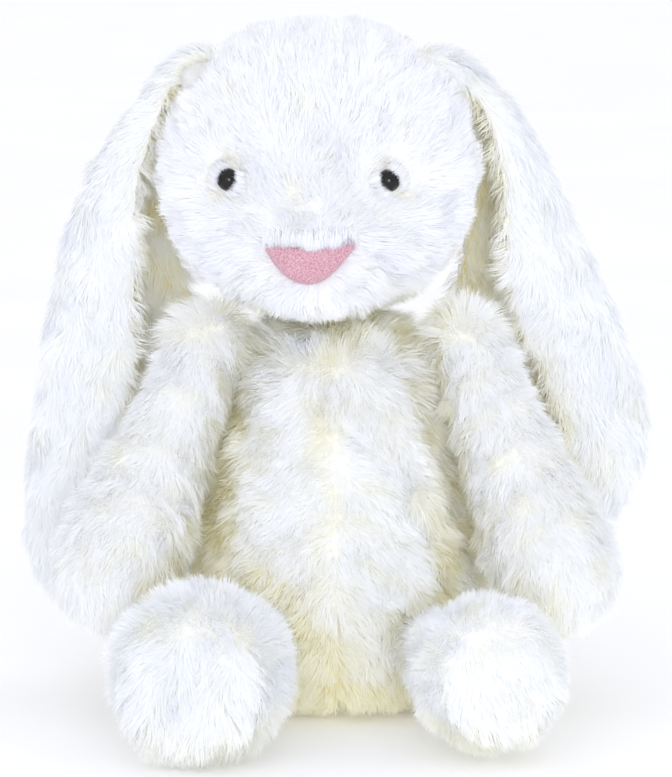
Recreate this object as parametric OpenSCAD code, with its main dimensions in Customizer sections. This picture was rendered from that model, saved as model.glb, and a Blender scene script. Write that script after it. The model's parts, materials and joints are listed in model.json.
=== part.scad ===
// A stuffed lop-eared rabbit, sitting. Millimetres, +Z up, the face looks along -Y.
// The origin is the centre of the flat seat. Left and right are the rabbit's own, so left is +X.

/* [Fabric] */
// Thickness of the fur fabric with its pile pressed down
fur_wall = 5; // [3:0.5:5]
// Thickness of the short-pile ear lining
lining_wall = 2; // [1:0.5:2]

/* [Torso] */
// Height of the neck ball's centre, which is the nod axis
neck_z = 133; // [131:0.5:134]
// Radius of the neck ball that the head sits on
neck_ball_r = 30; // [28:0.5:30]
// Radius of the flat round seat panel
seat_r = 44; // [38:1:46]
// Widest radius of the pear-shaped torso
hip_r = 63; // [60:0.5:63]
// Radius of the round pouch of pellets that weights the seat
pouch_r = 34; // [26:1:36]

/* [Head] */
// Sideways place of the head's centre, a little towards the rabbit's right
head_x = -7; // [-8:0.5:-6]
// Height of the head's centre
head_z = 216; // [215:0.5:217]
// Half of the head's width
head_half_w = 64; // [62:0.5:64]
// Half of the head's height and depth
head_half_h = 61; // [60:0.5:61]
// How far the face is turned towards the rabbit's right, in degrees
head_turn = 4; // [0:0.5:5]
// Radius of the muzzle's ball
muzzle_r = 33; // [31:0.5:33]
// Half of the gusset's width, between the two side panels
gusset_half_w = 14; // [12:1:16]

/* [Face] */
// Radius of an eye bead
eye_r = 4.5; // [3.5:0.25:5]
// Distance of each eye from the middle of the face
eye_offset = 32; // [30:0.5:33]
// Width of the nose patch
nose_w = 36; // [30:1:38]
// Height of the nose patch
nose_h = 16.5; // [14:0.5:18]

/* [Arms] */
// Distance of each shoulder from the middle
shoulder_x = 51; // [51:0.5:52]
// Height of the shoulders
shoulder_z = 147.5; // [146:0.5:147.5]
// Radius of an arm's round root
arm_root_r = 16.5; // [15:0.5:16.5]
// Radius of a paw
paw_r = 27; // [24:0.5:27]

/* [Legs] */
// Distance of each hip from the middle
hip_x = 38; // [37:0.5:40]
// Height of the hips
hip_z = 30; // [29:0.5:31]
// Radius of a leg's round root
leg_root_r = 20; // [18:0.5:20]
// Radius of a foot
foot_r = 33; // [30:0.5:33]

/* [Tail] */
// Radius of the round tail
tail_r = 19; // [15:0.5:20]

/* [Hidden] */

LEFT = 1;
RIGHT = -1;

// Gap between a skin and the stuffing inside it
fill_gap = 0.2;
// Gap between bodies that turn against each other
turn_gap = 0.5;
// Gap between two pieces of one body that are fixed against each other
touch_gap = 0.1;
// Steps of a curve between two of its outline's points
curve_steps = 3;
fur_white = "#FBFAF6";
stuffing_white = "#F2F2EE";
lining_cream = "#F6EFD8";

// Neck and head
neck = [0, 0, neck_z];
head_centre = [head_x, -4, head_z];
// Squareness of the head's outline: 2 is an ellipse, more is squarer
head_power = 2.2;
// Angle between two points of the head's outline, in degrees
head_step = 7.5;
// The muzzle ball's centre and the nose's height, from the head's centre
muzzle_centre = [0, -26, -26];
nose_drop = -32;
nose_thick = 1.6;

// Eyes
eye_lift = -1;
eye_sink = 2.5;
shank_r = 1.6;
shank_length = 13;
washer_r = 6;
washer_thick = 1.2;
// How far under the skin a washer is pushed on to its shank
washer_drop = 1.5;

// Arms: from the shoulder to the paw's centre
shoulder_y = -12;
paw_centre = [87, -43, 60];

// Legs: from the hip to the foot's centre
hip_y = -58;
foot_left = [58, -113, 33.4];
foot_right = [51, -113, 33.4];
sole_edge_r = 25;

// Ears: each row is [distance from the middle, y, z, depth of the fold's front side, half the gap between
// its sides, depth of its back side]
ear_root = [47, 3, 256];
ear_root_r = 8;
ear_root_length = 26;
ear_rows_right = [
    [52, 3, 257, 3, 13, 3], [60, 4, 258, 3, 14, 3], [69, 6, 250, 5, 15, 6], [80, 9, 235, 10, 15, 14],
    [94, 14, 216, 19, 15, 26], [107, 21, 187, 30, 15, 50], [116, 27, 150, 36, 14, 64],
    [123, 29, 105, 40, 14, 50], [126, 28, 64, 38, 13, 40], [119, 27, 42, 26, 10, 26], [103, 26, 31, 11, 6, 11]
];
ear_rows_left = [
    [38, 3, 256, 5, 13, 5], [47, 4, 258, 5, 14, 5], [56, 6, 251, 6, 15, 7], [67, 9, 239, 9, 15, 12],
    [78, 13, 223, 16, 15, 24], [90, 18, 202, 28, 15, 47], [104, 25, 173, 38, 14, 66],
    [116, 28, 145, 38, 14, 64], [124, 29, 121, 36, 14, 52], [126, 28, 99, 33, 13, 38],
    [120, 27, 81, 27, 11, 28], [107, 26, 68, 18, 8, 18], [90, 25, 60, 10, 6, 10]
];
// Steps across the ear's fabric, from its front edge to its back edge
ear_across = 8;
// How far round the fold each edge is from the middle, in degrees
ear_half_turn = 86;
// How much thinner the ear's fabric is at its edges
ear_edge_thin = 0.6;
// How far the fur fabric reaches outwards and inwards from the fold's middle surface
ear_fur_out = 4;
ear_fur_in = -1;
// Where the lining's own surface starts, under the fur fabric
ear_lining_out = -1.6;
// The place along an ear's curve where its fur fabric and its lining start
ear_fur_first = 2;
ear_lining_first = 5;
// Steps of an ear's curve between two of its rows
ear_curve_steps = 2;

// Tail and label
tail_base = tail_r * 0.6;
tail_centre = [0, hip_r + 0.1 + tail_base, 31];
label_size = [13, 0.8, 16];
label_z = 17;

// A point on the smooth curve through the points p, between p[i] and p[i + 1]
function curve_point(p, i, t) =
    let (
        last = len(p) - 1,
        a = p[max(i - 1, 0)],
        b = p[i],
        c = p[min(i + 1, last)],
        d = p[min(i + 2, last)]
    )
    0.5 * (2 * b + (c - a) * t + (2 * a - 5 * b + 4 * c - d) * t * t + (3 * b - 3 * c + d - a) * t * t * t);

// The smooth curve through the points p
function curve(p, steps = curve_steps) = [
    for (i = [0 : len(p) - 2]) for (s = [0 : steps - 1]) curve_point(p, i, s / steps),
    p[len(p) - 1]
];

// The path moved to its left by d, with its last point kept on the axis
function inset(path, d) =
    let (last = len(path) - 1)
    [
        for (i = [0 : last])
        let (
            along = path[min(i + 1, last)] - path[max(i - 1, 0)],
            moved = path[i] + d * [-along.y, along.x] / norm(along)
        )
        [i == last ? 0 : max(moved.x, 0), moved.y]
    ];

// Points on an arc of radius r round [0, h], from angle a to angle b
function arc(r, h, a, b, steps) = [
    for (i = [0 : steps]) let (t = a + (b - a) * i / steps) [r * cos(t), h + r * sin(t)]
];

function reversed(path) = [for (i = [len(path) - 1 : -1 : 0]) path[i]];

// The first and the last points of a path, split at point k
function head_of(path, k) = [for (i = [0 : k]) path[i]];
function tail_of(path, k) = [for (i = [k : len(path) - 1]) path[i]];

// Turns a shape from standing on +Z to lie along the direction d
module along(d) {
    rotate([0, acos(d.z / norm(d)), atan2(d.y, d.x)]) children();
}

// A ring of fabric between an outer and an inner path, turned through an angle
module fabric(outer, inner, angle = 360) {
    rotate_extrude(angle = angle) polygon(concat(outer, reversed(inner)));
}

// ---- Torso ----

shoulder_slope = [
    [seat_r, 0], [56, 9], [hip_r - 1.5, 24], [hip_r, 42], [hip_r - 2, 62],
    [56.5, 84], [49, 108], [41, 130], [35.5, 142.5], [29, 148]
];
neck_dome = arc(neck_ball_r, neck_z, 34, 90, 6);
torso_path = concat(curve(shoulder_slope), neck_dome);
torso_inner = inset(torso_path, fur_wall);
torso_fill = inset(torso_path, fur_wall + fill_gap);
seat_wall = torso_inner[0].y;
pouch_z = seat_wall + 3;
pouch_h = 22;
pouch_wall = 0.6;

function shoulder(side) = [side * shoulder_x, shoulder_y, shoulder_z];
function hip(side) = [side * hip_x, hip_y, hip_z];

// What the limbs need cut out of the torso
module torso_sockets() {
    for (side = [LEFT, RIGHT]) {
        translate(shoulder(side)) sphere(r = arm_root_r + turn_gap);
        translate(hip(side)) sphere(r = leg_root_r + turn_gap);
    }
}

// One sewn panel of the torso's skin, from one angle round the middle to another
module torso_panel(from, to) {
    color(fur_white) difference() {
        rotate([0, 0, from]) fabric(torso_path, torso_inner, to - from);
        torso_sockets();
    }
}

module torso_front_left() {
    torso_panel(270, 360);
}

module torso_front_right() {
    torso_panel(180, 270);
}

module torso_back() {
    torso_panel(0, 180);
}

module torso_seat() {
    color(fur_white) cylinder(h = seat_wall, r1 = seat_r, r2 = torso_inner[0].x);
}

// The flat round pouch, as a solid of the given wall inwards
module pouch_solid(grow) {
    translate([0, 0, pouch_z - grow]) cylinder(h = pouch_h + 2 * grow, r = pouch_r + grow);
}

module torso_stuffing() {
    floor_z = seat_wall + fill_gap;
    color(stuffing_white) difference() {
        rotate_extrude() polygon(concat([[0, floor_z], [torso_fill[0].x, floor_z]], tail_of(torso_fill, 1)));
        torso_sockets();
        pouch_solid(fill_gap);
    }
}

module bean_pouch() {
    color("#ECEBE4") difference() {
        pouch_solid(0);
        pouch_solid(-pouch_wall);
    }
}

module bean_pellets() {
    color("#DADADA") pouch_solid(-pouch_wall - touch_gap);
}

// ---- Tail and label ----

// Turns a shape from standing on +Z to point backwards from the tail's centre
module in_tail() {
    translate(tail_centre) rotate([-90, 0, 0]) children();
}

// The tail's outline from its flat base, which is sewn against the torso's back, to its tip
function tail_path(r) = arc(r, 0, -asin(tail_base / r), 90, 12);

module tail_skin() {
    color(fur_white) in_tail() fabric(tail_path(tail_r), tail_path(tail_r - fur_wall));
}

module tail_stuffing() {
    r = tail_r - fur_wall - fill_gap;
    color(stuffing_white) in_tail() rotate_extrude() polygon(concat([[0, -tail_base]], tail_path(r)));
}

// A blank folded label sewn into the left side seam
module side_label() {
    seam_x = hip_r - 3;
    color("#F4F4F0") difference() {
        translate([seam_x, -label_size.y / 2, label_z]) cube([label_size.x, label_size.y, label_size.z]);
        rotate_extrude() polygon(concat([[0, 0]], torso_path));
    }
}

// ---- Head ----

// A point of the head's outline at angle a, as [distance from the width axis, place along it]
function head_point(shrink, a) =
    let (power = 2 / head_power)
    [
        abs(a) == 90 ? 0 : (head_half_h - shrink) * pow(cos(a), power),
        (head_half_w - shrink) * sign(a) * pow(abs(sin(a)), power)
    ];

// The angle at which the head's outline is that far from its middle plane
function head_angle(x) = sign(x) * asin(pow(abs(x) / head_half_w, head_power / 2));

// The part of the head's outline between two distances from its middle plane
function head_band(shrink, low, high) =
    let (
        a = head_angle(low),
        b = head_angle(high),
        steps = round((b - a) / head_step)
    )
    [for (i = [0 : steps]) head_point(shrink, i == steps ? b : a + (b - a) * i / steps)];

// Places its children in the head's own frame
module in_head() {
    translate(head_centre) rotate([0, 0, -head_turn]) children();
}

// A solid of the head's outline without its muzzle
module head_solid(shrink) {
    in_head() rotate([0, 90, 0]) rotate_extrude() polygon(head_band(shrink, -head_half_w, head_half_w));
}

module muzzle_ball(shrink) {
    in_head() translate(muzzle_centre) sphere(r = muzzle_r - shrink);
}

function ear_pivot(side) = [head_x + side * ear_root.x, ear_root.y, ear_root.z];

module ear_root_roll(side, grow) {
    length = ear_root_length + 2 * grow;
    translate(ear_pivot(side)) rotate([90, 0, 0]) cylinder(h = length, r = ear_root_r + grow, center = true);
}

// What the neck and the ears need cut out of the head
module head_sockets() {
    translate(neck) sphere(r = neck_ball_r + turn_gap);
    for (side = [LEFT, RIGHT]) ear_root_roll(side, turn_gap);
}

// How far in front of the head's middle its surface is, at the eyes
eye_depth = head_half_h * pow(1 - pow(eye_offset / head_half_w, head_power), 1 / head_power);

// Places its children at an eye, with +Z pointing out of the head along the skin's normal
module at_eye(side) {
    out = [
        side * pow(eye_offset / head_half_w, head_power - 1) / head_half_w,
        -pow(eye_depth / head_half_h, head_power - 1) / head_half_h,
        0
    ];
    in_head() translate([side * eye_offset, -eye_depth, eye_lift]) along(out) children();
}

// The hollow that an eye's flat back and its shank need in the skin
module eye_seats() {
    for (side = [LEFT, RIGHT]) at_eye(side) {
        translate([0, 0, -eye_sink]) cylinder(h = 2 * eye_r, r = eye_r + touch_gap);
        translate([0, 0, -shank_length]) cylinder(h = shank_length, r = shank_r + touch_gap);
    }
}

// One sewn panel of the head, between two distances from its middle plane
module head_panel(low, high) {
    color(fur_white) difference() {
        in_head() rotate([0, 90, 0]) fabric(head_band(0, low, high), head_band(fur_wall, low, high));
        muzzle_ball(0);
        head_sockets();
        eye_seats();
    }
}

module head_side_left() {
    head_panel(gusset_half_w, head_half_w);
}

module head_side_right() {
    head_panel(-head_half_w, -gusset_half_w);
}

module head_gusset() {
    head_panel(-gusset_half_w, gusset_half_w);
}

module muzzle_panel() {
    color(fur_white) difference() {
        muzzle_ball(0);
        muzzle_ball(fur_wall);
        head_solid(fur_wall);
        head_sockets();
    }
}

module head_stuffing() {
    washer_space = washer_r + fill_gap;
    color(stuffing_white) difference() {
        union() {
            head_solid(fur_wall + fill_gap);
            muzzle_ball(fur_wall + fill_gap);
        }
        translate(neck) sphere(r = neck_ball_r + fur_wall);
        for (side = [LEFT, RIGHT]) {
            ear_root_roll(side, turn_gap + fill_gap);
            at_eye(side) translate([0, 0, -shank_length - fur_wall])
                cylinder(h = shank_length, r = washer_space);
        }
    }
}

// The nose's outline from the front: a wide soft triangle with its point down
module nose_outline() {
    // Each point is [share of half the nose's width, share of the nose's height]
    points = [
        [-1, 0.42], [0, 0.34], [1, 0.42], [0.74, -0.06], [0.38, -0.44], [0, -0.57], [-0.38, -0.44],
        [-0.74, -0.06], [-1, 0.42]
    ];
    polygon(curve([for (p = points) [p.x * nose_w / 2, p.y * nose_h]], 4));
}

module nose_patch() {
    color("#D9A0B4") intersection() {
        difference() {
            muzzle_ball(-nose_thick - touch_gap);
            muzzle_ball(-touch_gap);
        }
        in_head() translate([0, muzzle_centre.y - muzzle_r * 0.5, nose_drop]) rotate([90, 0, 0])
            linear_extrude(height = muzzle_r) nose_outline();
    }
}

// ---- Eyes ----

module eye(side) {
    color("#101010") at_eye(side) translate([0, 0, -eye_sink]) {
        intersection() {
            sphere(r = eye_r);
            cylinder(h = eye_r, r = eye_r);
        }
        translate([0, 0, eye_sink - shank_length]) cylinder(h = shank_length - eye_sink, r = shank_r);
    }
}

module eye_washer(side) {
    color("#E6E6E6") at_eye(side) translate([0, 0, -fur_wall - washer_drop - washer_thick]) difference() {
        cylinder(h = washer_thick, r = washer_r);
        cylinder(h = 4 * washer_thick, r = shank_r + touch_gap, center = true);
    }
}

// ---- Ears ----

function ear_rows(side) = side == LEFT ? ear_rows_left : ear_rows_right;

// One ring of an ear's fabric: its outer points, then its inner points back again
function ear_ring(row, along_ear, outer, inner) =
    let (
        centre = [row[0], row[1], row[2]],
        inward = [along_ear.z, 0, -along_ear.x] / norm([along_ear.x, along_ear.z]),
        gap = row[4]
    )
    [
        for (layer = [outer, inner]) for (i = [0 : ear_across])
        let (
            k = layer == outer ? i : ear_across - i,
            share = 2 * k / ear_across - 1,
            a = ear_half_turn * share,
        depth = share < 0 ? row[3] : row[5],
            thin = 1 - ear_edge_thin * share * share,
            out = [-gap * cos(a), depth * sin(a)] / norm([gap * cos(a), depth * sin(a)]),
            across = [depth * (1 - cos(a)), gap * sin(a)] + out * layer * thin
        )
        centre + inward * across[0] + [0, across[1], 0]
    ];

// The closed sheet of an ear between two distances from the fold's middle line
module ear_sheet(rows, first, outer, inner) {
    line = curve(rows, ear_curve_steps);
    rings = len(line) - first;
    size = 2 * (ear_across + 1);
    points = [
        for (i = [first : len(line) - 1])
        let (
            before = line[max(i - 1, 0)],
            after = line[min(i + 1, len(line) - 1)],
            step = [after[0] - before[0], 0, after[2] - before[2]]
        )
        each ear_ring(line[i], step / norm(step), outer, inner)
    ];
    sides = [
        for (i = [0 : rings - 2]) for (k = [0 : size - 1])
        let (a = i * size + k, b = i * size + (k + 1) % size)
        each [[a, b, b + size], [a, b + size, a + size]]
    ];
    ends = [
        for (ring = [0, rings - 1]) for (k = [0 : ear_across - 1])
        let (
            a = ring * size + k,
            b = a + 1,
            c = ring * size + size - 2 - k,
            d = c + 1
        )
        each (ring == 0 ? [[b, a, d], [b, d, c]] : [[a, b, c], [a, c, d]])
    ];
    polyhedron(points = points, faces = concat(sides, ends));
}

module ear_side(side) {
    mirror([side == LEFT ? 0 : 1, 0, 0]) children();
}

module ear_fur(side) {
    color(fur_white) union() {
        ear_side(side) ear_sheet(ear_rows(side), ear_fur_first, ear_fur_out, ear_fur_in);
        ear_root_roll(side, 0);
    }
}

module ear_lining(side) {
    inside = ear_lining_out - lining_wall;
    color(lining_cream) ear_side(side) ear_sheet(ear_rows(side), ear_lining_first, ear_lining_out, inside);
}

// ---- Arms ----

arm_line = paw_centre - [shoulder_x, shoulder_y, shoulder_z];
arm_length = norm(arm_line);
arm_path = concat(
    arc(arm_root_r, 0, -90, 0, 6),
    tail_of(curve([
        [arm_root_r, 0], [arm_root_r + 0.5, 14], [19.5, 34], [22.5, 60], [paw_r - 1, arm_length - 20],
        [paw_r, arm_length]
    ]), 1),
    tail_of(arc(paw_r, arm_length, 0, 90, 8), 1)
);

// Both ends of a limb's path are on the axis, so the inner path is closed at both
function limb_inner(path, d) = concat([[0, path[0].y + d]], tail_of(inset(path, d), 1));

// Places its children on an arm's axis, with +Z towards the paw
module in_arm(side) {
    translate(shoulder(side)) along([side * arm_line.x, arm_line.y, arm_line.z]) children();
}

// Half of an arm's skin: half 0 is the inner panel and half 1 the outer
module arm_panel(side, half) {
    turn = (half == 0 ? 90 : 270);
    color(fur_white) in_arm(side) rotate([0, 0, turn]) fabric(arm_path, limb_inner(arm_path, fur_wall), 180);
}

module arm_stuffing(side) {
    color(stuffing_white) in_arm(side) rotate_extrude() polygon(limb_inner(arm_path, fur_wall + fill_gap));
}

// ---- Legs ----

function foot(side) = side == LEFT ? foot_left : foot_right;
function leg_line(side) = [side * foot(side).x, foot(side).y, foot(side).z] - hip(side);

leg_length = norm([foot_right.x - hip_x, foot_right.y - hip_y, foot_right.z - hip_z]);
leg_side_path = concat(
    arc(leg_root_r, 0, -90, 0, 7),
    tail_of(curve([
        [leg_root_r, 0], [leg_root_r - 0.5, 12], [23, 26], [29, 38], [foot_r, leg_length - 2],
        [foot_r - 2, leg_length + 13], [sole_edge_r, leg_length + 22]
    ]), 1)
);
sole_path = curve([
    [sole_edge_r, leg_length + 22], [14, leg_length + 26], [0, leg_length + 27]
], 4);
leg_split = len(leg_side_path) - 1;
leg_path = concat(leg_side_path, tail_of(sole_path, 1));

// Places its children on a leg's axis, with +Z towards the foot
module in_leg(side) {
    translate(hip(side)) along(leg_line(side)) children();
}

// Half of a leg's skin without its sole: half 0 is the inner panel and half 1 the outer
module leg_panel(side, half) {
    turn = (half == 0 ? 90 : 270);
    inner = limb_inner(leg_path, fur_wall);
    color(fur_white) in_leg(side) rotate([0, 0, turn])
        fabric(head_of(leg_path, leg_split), head_of(inner, leg_split), 180);
}

module leg_sole(side) {
    inner = limb_inner(leg_path, fur_wall);
    color(fur_white) in_leg(side) fabric(tail_of(leg_path, leg_split), tail_of(inner, leg_split));
}

module leg_stuffing(side) {
    color(stuffing_white) in_leg(side) rotate_extrude() polygon(limb_inner(leg_path, fur_wall + fill_gap));
}

torso_front_left();
torso_front_right();
torso_back();
torso_seat();
torso_stuffing();
bean_pouch();
bean_pellets();
tail_skin();
tail_stuffing();
side_label();
head_side_left();
head_side_right();
head_gusset();
muzzle_panel();
head_stuffing();
nose_patch();
eye(LEFT);  // eye_left
eye(RIGHT);  // eye_right
eye_washer(LEFT);  // eye_washer_left
eye_washer(RIGHT);  // eye_washer_right
ear_fur(LEFT);  // ear_left_fur
ear_lining(LEFT);  // ear_left_lining
ear_fur(RIGHT);  // ear_right_fur
ear_lining(RIGHT);  // ear_right_lining
arm_panel(LEFT, 1);  // arm_left_outer
arm_panel(LEFT, 0);  // arm_left_inner
arm_stuffing(LEFT);  // arm_left_stuffing
arm_panel(RIGHT, 1);  // arm_right_outer
arm_panel(RIGHT, 0);  // arm_right_inner
arm_stuffing(RIGHT);  // arm_right_stuffing
leg_panel(LEFT, 1);  // leg_left_outer
leg_panel(LEFT, 0);  // leg_left_inner
leg_sole(LEFT);  // leg_left_sole
leg_stuffing(LEFT);  // leg_left_stuffing
leg_panel(RIGHT, 1);  // leg_right_outer
leg_panel(RIGHT, 0);  // leg_right_inner
leg_sole(RIGHT);  // leg_right_sole
leg_stuffing(RIGHT);  // leg_right_stuffing
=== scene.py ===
"""The looks of the stuffed rabbit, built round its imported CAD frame.

Metres, +Z up, the face looks along -Y. Each sewn body part is a stuffed skin, puffed by a cloth
simulation between its seams, with strands of fur grown on it.
"""

import json
import math

import bmesh
import bpy
import numpy as np
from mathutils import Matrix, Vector, kdtree
from mathutils.bvhtree import BVHTree


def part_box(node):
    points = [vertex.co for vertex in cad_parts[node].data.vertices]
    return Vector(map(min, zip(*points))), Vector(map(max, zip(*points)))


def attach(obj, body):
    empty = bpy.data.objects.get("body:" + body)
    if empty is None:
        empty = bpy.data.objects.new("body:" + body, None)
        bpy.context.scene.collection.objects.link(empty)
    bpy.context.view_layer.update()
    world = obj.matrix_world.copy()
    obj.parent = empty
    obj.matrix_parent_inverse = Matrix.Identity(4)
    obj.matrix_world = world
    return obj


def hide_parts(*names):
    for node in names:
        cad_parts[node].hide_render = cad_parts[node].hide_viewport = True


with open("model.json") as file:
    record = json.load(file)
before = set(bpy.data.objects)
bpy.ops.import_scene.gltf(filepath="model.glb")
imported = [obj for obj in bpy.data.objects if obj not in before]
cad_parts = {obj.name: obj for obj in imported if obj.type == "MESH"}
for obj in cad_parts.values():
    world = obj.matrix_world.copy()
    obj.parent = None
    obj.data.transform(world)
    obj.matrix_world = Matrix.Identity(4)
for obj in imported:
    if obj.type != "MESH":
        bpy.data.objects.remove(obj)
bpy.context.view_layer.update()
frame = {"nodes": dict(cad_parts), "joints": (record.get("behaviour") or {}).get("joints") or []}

MM = 0.001
UP = np.array((0.0, 0.0, 1.0))
SIDES = {"left": 1.0, "right": -1.0}

# ---- Camera: level with the rabbit, a little above it, in front of its face ----

CAMERA_TARGET = Vector((0, 0, 0.126))
CAMERA_DISTANCE = 1.4
CAMERA_ELEVATION = math.radians(8)
CAMERA_LENS_MM = 160


def make_camera():
    back = Vector((0, -math.cos(CAMERA_ELEVATION), math.sin(CAMERA_ELEVATION)))
    data = bpy.data.cameras.new("camera")
    data.lens = CAMERA_LENS_MM
    camera = bpy.data.objects.new("camera", data)
    camera.location = CAMERA_TARGET + back * CAMERA_DISTANCE
    camera.rotation_euler = (-back).to_track_quat("-Z", "Y").to_euler()
    bpy.context.scene.collection.objects.link(camera)
    bpy.context.scene.camera = camera


# ---- Small helpers ----


def joint_place(name):
    return np.array(next(j for j in frame["joints"] if j["name"] == name)["pos_m"], float)


def box_of(*nodes):
    """The lowest and highest corners of several CAD nodes together."""
    boxes = [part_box(n) for n in nodes]
    return (
        np.min([np.array(b[0]) for b in boxes], axis=0),
        np.max([np.array(b[1]) for b in boxes], axis=0),
    )


def unit(v):
    return v / np.maximum(np.linalg.norm(v, axis=-1, keepdims=True), 1e-12)


def smooth_step(low, high, x):
    t = np.clip((x - low) / (high - low), 0, 1)
    return t * t * (3 - 2 * t)


def ripples(points, size, seed, count=7):
    """Smooth noise from about -1 to 1 at some points, with lumps of about that size."""
    rng = np.random.default_rng(seed)
    directions = unit(rng.normal(size=(count, 3))) * (2 * math.pi / size) * rng.uniform(0.5, 1.2, (count, 1))
    phases = rng.uniform(0, 2 * math.pi, count)
    return np.sin(points @ directions.T + phases).sum(axis=1) / math.sqrt(count)


def coordinates(mesh):
    co = np.empty(len(mesh.vertices) * 3, np.float32)
    mesh.vertices.foreach_get("co", co)
    return co.reshape(-1, 3).astype(float)


def set_coordinates(mesh, co):
    mesh.vertices.foreach_set("co", np.asarray(co, np.float32).ravel())
    mesh.update()


def vertex_normals(mesh):
    found = np.empty(len(mesh.vertices) * 3, np.float32)
    mesh.vertex_normals.foreach_get("vector", found)
    return found.reshape(-1, 3).astype(float)


def new_object(name, mesh):
    made = bpy.data.objects.new(name, mesh)
    bpy.context.scene.collection.objects.link(made)
    return made


def object_from(bm, name):
    mesh = bpy.data.meshes.new(name)
    bm.to_mesh(mesh)
    bm.free()
    return new_object(name, mesh)


def apply_modifiers(obj):
    evaluated = obj.evaluated_get(bpy.context.evaluated_depsgraph_get())
    mesh = bpy.data.meshes.new_from_object(evaluated)
    obj.modifiers.clear()
    old, obj.data = obj.data, mesh
    bpy.data.meshes.remove(old)
    mesh.name = obj.name


def shade_smooth(obj):
    obj.data.polygons.foreach_set("use_smooth", [True] * len(obj.data.polygons))


def cad_tree(*nodes):
    """A search tree of some CAD nodes' faces, to measure the frame with rays."""
    points, faces = [], []
    for name in nodes:
        mesh = frame["nodes"][name].data
        first = len(points)
        points += [v.co.copy() for v in mesh.vertices]
        faces += [[first + i for i in p.vertices] for p in mesh.polygons]
    return BVHTree.FromPolygons(points, faces)


# ---- Materials ----


class Shade:
    """A material's node tree, built in a few words."""

    def __init__(self, name):
        self.material = bpy.data.materials.new(name)
        self.material.use_nodes = True
        self.nodes = self.material.node_tree.nodes
        self.links = self.material.node_tree.links
        self.shader = self.nodes["Principled BSDF"]

    def node(self, kind, inputs=(), **settings):
        made = self.nodes.new(kind)
        for key, value in settings.items():
            setattr(made, key, value)
        for key, value in dict(inputs).items():
            self.put(value, made.inputs[key])
        return made

    def put(self, value, socket):
        if isinstance(value, bpy.types.NodeSocket):
            self.links.new(value, socket)
        else:
            socket.default_value = value

    def set(self, **values):
        for key, value in values.items():
            self.put(value, self.shader.inputs[key.replace("_", " ").title().replace("Ior", "IOR")])

    def place(self):
        return self.node("ShaderNodeTexCoord").outputs["Object"]

    def noise(self, scale, detail=4.0, roughness=0.6):
        inputs = {"Vector": self.place(), "Scale": scale, "Detail": detail, "Roughness": roughness}
        return self.node("ShaderNodeTexNoise", inputs).outputs["Fac"]

    def ramp(self, value, *stops):
        made = self.node("ShaderNodeValToRGB", {"Fac": value})
        points = made.color_ramp.elements
        while len(points) < len(stops):
            points.new(1.0)
        for point, (place, colour) in zip(points, stops):
            point.position = place
            point.color = (*colour, 1)
        return made.outputs["Color"]

    def mix(self, share, a, b):
        made = self.nodes.new("ShaderNodeMix")
        made.data_type = "RGBA"
        self.put(share, made.inputs[0])
        for value, socket in ((a, made.inputs[6]), (b, made.inputs[7])):
            self.put(value if isinstance(value, bpy.types.NodeSocket) else (*value, 1), socket)
        return made.outputs[2]

    def bump(self, height, strength, distance):
        inputs = {"Height": height, "Strength": strength, "Distance": distance}
        self.put(self.node("ShaderNodeBump", inputs).outputs["Normal"], self.shader.inputs["Normal"])


# Linear colours: each white fur's tip and root
# Painted light and shade: each tip is bluer and each root warmer, so the lit tips take a cool cast and the
# fur's depths a warm one.
# The three are lit and shaded copies of one white fur. The head's is painted darker, as painted shade, since
# the head catches the most light. The torso's and arms' is painted brighter, as painted light, where the
# head, ears and arms shade them.
FUR_WHITES = {
    "fur_pile": ((0.955, 0.965, 0.992), (0.975, 0.975, 0.968)),
    "head_pile_painted_shade": ((0.938, 0.947, 0.982), (0.960, 0.962, 0.964)),
    "body_pile_painted_light": ((0.972, 0.979, 0.998), (0.985, 0.985, 0.980)),
}
# Painted shade: the cream that the fur turns where it is deep or hidden. The fur's random tone uses it too.
CREAM_AND_PAINTED_SHADE_TIP = (0.955, 0.95, 0.86)
CREAM_AND_PAINTED_SHADE_ROOT = (0.945, 0.90, 0.62)
# The UV layer that places a strand's faces: across is its tone, and up is the way from root to tip
STRAND_UV = "OFBake"


def fur_material(name):
    shade = Shade(name)
    tip, root = FUR_WHITES[name]
    uv = shade.node("ShaderNodeUVMap", uv_map=STRAND_UV).outputs["UV"]
    split = shade.node("ShaderNodeSeparateXYZ", {"Vector": uv})
    tone, along = split.outputs["X"], split.outputs["Y"]
    # Painted shade: the tone mixes each strand from white towards cream, which stands for the shade in the
    # fur's depths.
    white = shade.ramp(along, (0.0, root), (0.55, tip))
    cream = shade.ramp(along, (0.0, CREAM_AND_PAINTED_SHADE_ROOT), (0.9, CREAM_AND_PAINTED_SHADE_TIP))
    shade.set(base_color=shade.mix(tone, white, cream), roughness=0.85)
    shade.set(sheen_weight=0.15, sheen_roughness=0.6, specular_ior_level=0.15)
    return shade.material


def skin_material():
    shade = Shade("fur_backing")
    patches = shade.noise(90)
    shade.set(base_color=shade.ramp(patches, (0.3, (0.955, 0.94, 0.88)), (0.7, (0.975, 0.97, 0.95))))
    shade.set(roughness=0.95, specular_ior_level=0.1)
    shade.bump(shade.noise(900, 2.0), 0.6, 0.0006)
    return shade.material


def painted_shade_lining_material():
    # Painted shade: the deep ochre of this velvet stands for the shade inside the ear's fold, not the
    # lining's own colour.
    shade = Shade("ear_lining_velvet_painted_shade")
    patches = shade.noise(140)
    shade.set(base_color=shade.ramp(patches, (0.3, (0.93, 0.80, 0.36)), (0.75, (0.95, 0.88, 0.58))))
    shade.set(roughness=0.9, sheen_weight=0.4, sheen_roughness=0.5, specular_ior_level=0.1)
    shade.bump(shade.noise(1500, 3.0), 0.5, 0.0004)
    return shade.material


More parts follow.
